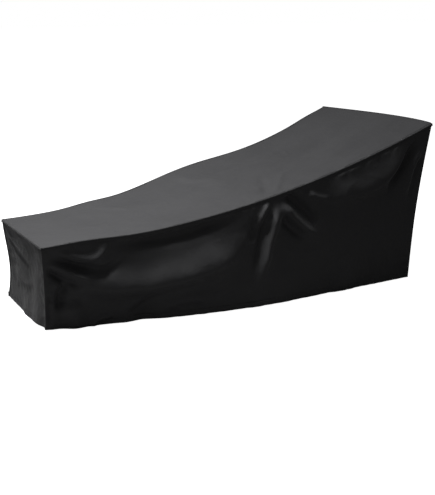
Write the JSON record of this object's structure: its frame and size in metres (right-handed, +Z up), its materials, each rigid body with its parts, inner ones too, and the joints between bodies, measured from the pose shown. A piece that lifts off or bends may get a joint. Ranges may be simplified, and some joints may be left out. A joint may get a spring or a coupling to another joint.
{
  "type": "fitted lounge chair cover",
  "caption": "Fitted weather cover for a chaise longue: a long top sweeping up to the head, over hanging foot, head and side panels, open below.",
  "frame": {"origin": "centre of the bounding box at its lowest level, where the hem of the foot panel hangs to the ground", "axes": "+X from the foot to the head of the chair that it covers, +Z up; the left side panel, of a person lying with the head at +X, is at -Y"},
  "size_m": [2, 0.868, 0.8243],
  "materials": {
    "top_cloth": "coated black polyester Oxford weave, dusty and slightly faded by light",
    "side_cloth": "coated black polyester Oxford weave, low sheen"
  },
  "bodies": {
    "root": {"top_panel": "top_cloth", "foot_panel": "side_cloth", "head_panel": "side_cloth", "left_side_panel": "side_cloth", "right_side_panel": "side_cloth"}
  },
  "joints": []
}
